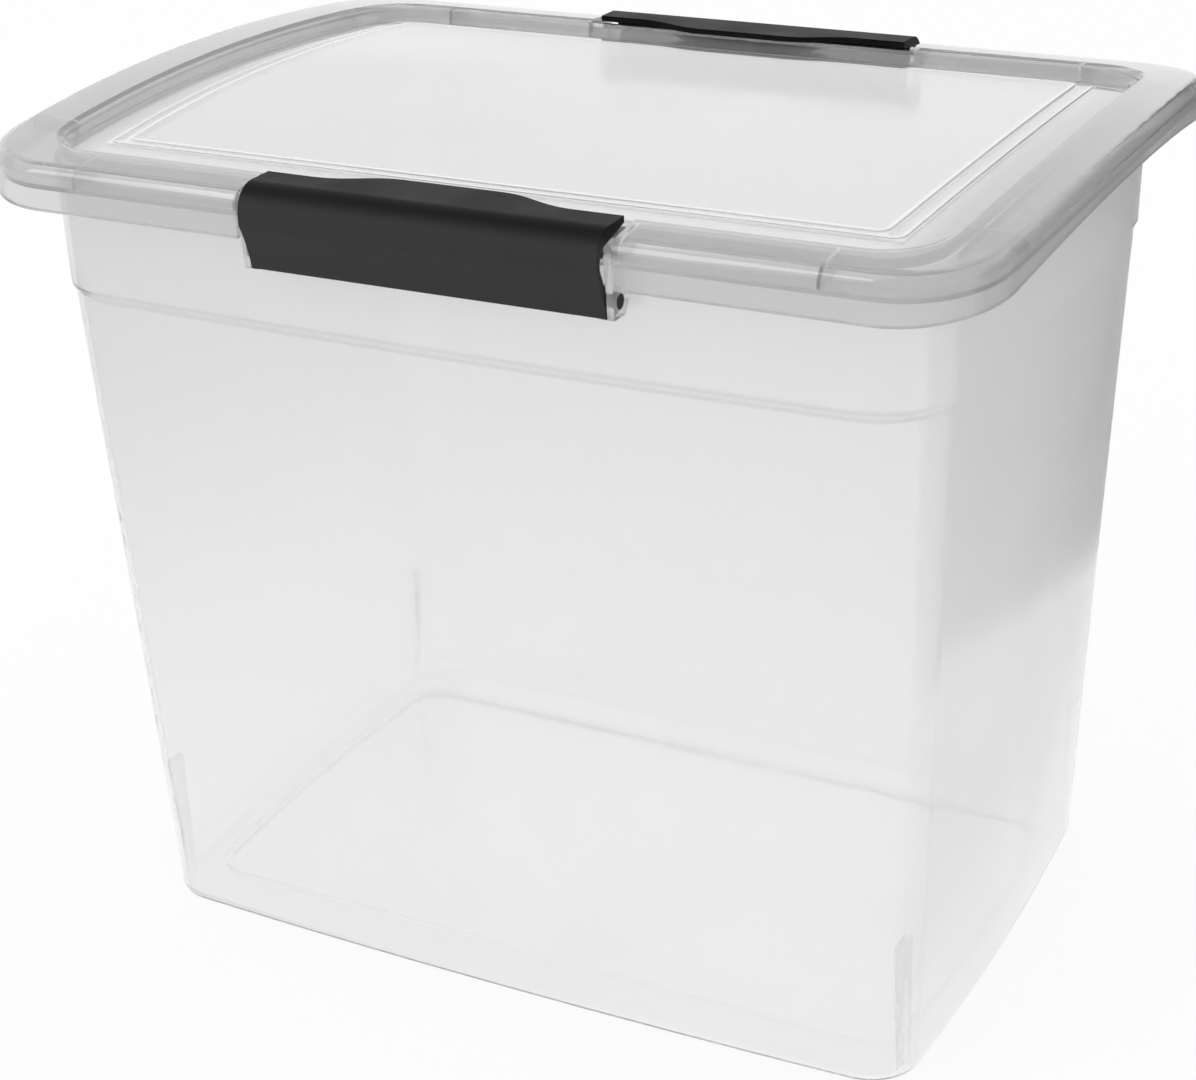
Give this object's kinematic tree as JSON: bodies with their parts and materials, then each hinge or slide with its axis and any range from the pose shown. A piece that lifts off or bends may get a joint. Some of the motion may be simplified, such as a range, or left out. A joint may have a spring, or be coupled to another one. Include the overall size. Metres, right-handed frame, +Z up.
{
  "type": "plastic storage box",
  "caption": "Tall clear storage box with drafted walls, a crowned lid with a raised panel, and a black hinged latch on each long side.",
  "frame": {"origin": "centre of the base, on the surface that the box stands on", "axes": "+X along the long side, +Y towards the rear long side, +Z up"},
  "size_m": [0.445, 0.3268, 0.3704],
  "materials": {
    "clear_tub": "natural polypropylene, moulded, satin outside",
    "clear_lid": "natural polypropylene, moulded, glossy",
    "black_latch": "black polypropylene, fine satin grain"
  },
  "bodies": {
    "tub": {"tub": "clear_tub"},
    "lid": {"lid": "clear_lid"},
    "latch_front": {"latch_front": "black_latch"},
    "latch_rear": {"latch_rear": "black_latch"}
  },
  "joints": [
    {"name": "lid_lift", "type": "slide", "parent": "tub", "child": "lid", "axis": [0, 0, 1], "range_m": [0, 0.0266]},
    {"name": "latch_front_hinge", "type": "hinge", "parent": "tub", "child": "latch_front", "pos_m": [0, -0.152, 0.336], "axis": [1, 0, 0], "range_deg": [0, 95]},
    {"name": "latch_rear_hinge", "type": "hinge", "parent": "tub", "child": "latch_rear", "pos_m": [0, 0.152, 0.336], "axis": [-1, 0, 0], "range_deg": [0, 95]}
  ],
  "couplings": [
    {"joint": "latch_front_hinge", "follows": "lid_lift", "rad_per_m": 62.33},
    {"joint": "latch_rear_hinge", "follows": "lid_lift", "rad_per_m": 62.33}
  ]
}
